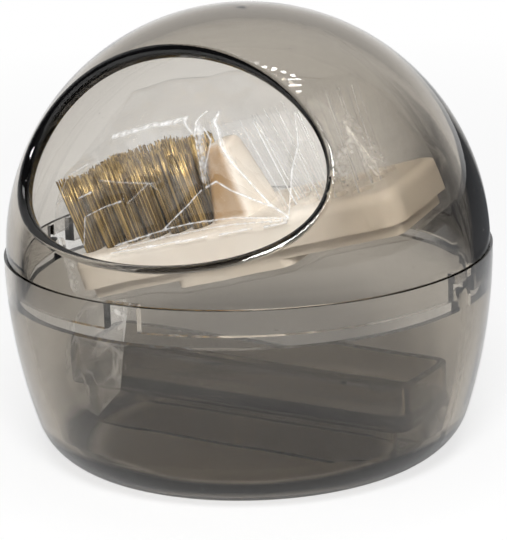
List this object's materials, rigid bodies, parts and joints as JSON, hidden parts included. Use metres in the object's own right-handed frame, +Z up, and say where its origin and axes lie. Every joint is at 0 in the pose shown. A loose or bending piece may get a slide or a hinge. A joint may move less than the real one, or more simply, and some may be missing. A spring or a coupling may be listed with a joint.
{
  "type": "drill bit cleaning brush in a ball case",
  "caption": "Ball-shaped clear case with a lift-off cover and an oval opening, holding a block brush with brass and nylon tufts and a finger grip over a low tray.",
  "frame": {"origin": "centre of the bowl's flat foot, on the surface that it stands on", "axes": "+Z up, -Y towards the oval opening at the front, +X to the right seen from the front"},
  "size_m": [0.101, 0.101, 0.0937],
  "materials": {
    "smoke_clear": "clear smoke-tinted plastic, polished",
    "block_beige": "beige moulded plastic, satin",
    "brass_wire": "fine brass wires",
    "nylon_clear": "clear nylon bristles",
    "anchor_metal": "stamped strip",
    "clear_film": "thin clear film, creased"
  },
  "bodies": {
    "base": {"base_bowl": "smoke_clear", "brush_holder": "smoke_clear"},
    "cover": {"dome_cover": "smoke_clear"},
    "brush": {"brush_block": "block_beige", "brass_tuft_front_1": "brass_wire", "brass_tuft_front_2": "brass_wire", "brass_tuft_front_3": "brass_wire", "brass_tuft_front_4": "brass_wire", "brass_tuft_front_5": "brass_wire", "brass_tuft_front_6": "brass_wire", "brass_tuft_middle_1": "brass_wire", "brass_tuft_middle_2": "brass_wire", "brass_tuft_middle_3": "brass_wire", "brass_tuft_middle_4": "brass_wire", "brass_tuft_middle_5": "brass_wire", "brass_tuft_middle_6": "brass_wire", "brass_tuft_back_1": "brass_wire", "brass_tuft_back_2": "brass_wire", "brass_tuft_back_3": "brass_wire", "brass_tuft_back_4": "brass_wire", "brass_tuft_back_5": "brass_wire", "brass_tuft_back_6": "brass_wire", "nylon_tuft_front_1": "nylon_clear", "nylon_tuft_front_2": "nylon_clear", "nylon_tuft_front_3": "nylon_clear", "nylon_tuft_front_4": "nylon_clear", "nylon_tuft_middle_1": "nylon_clear", "nylon_tuft_middle_2": "nylon_clear", "nylon_tuft_middle_3": "nylon_clear", "nylon_tuft_middle_4": "nylon_clear", "nylon_tuft_back_1": "nylon_clear", "nylon_tuft_back_2": "nylon_clear", "nylon_tuft_back_3": "nylon_clear", "nylon_tuft_back_4": "nylon_clear", "tuft_anchors": "anchor_metal", "film_wrap": "clear_film"}
  },
  "joints": [
    {"name": "cover_lift", "type": "slide", "parent": "base", "child": "cover", "axis": [0, 0, 1], "range_m": [0, 0.06]},
    {"name": "brush_lift", "type": "slide", "parent": "base", "child": "brush", "axis": [0, 0, 1], "range_m": [0, 0.0012]}
  ]
}
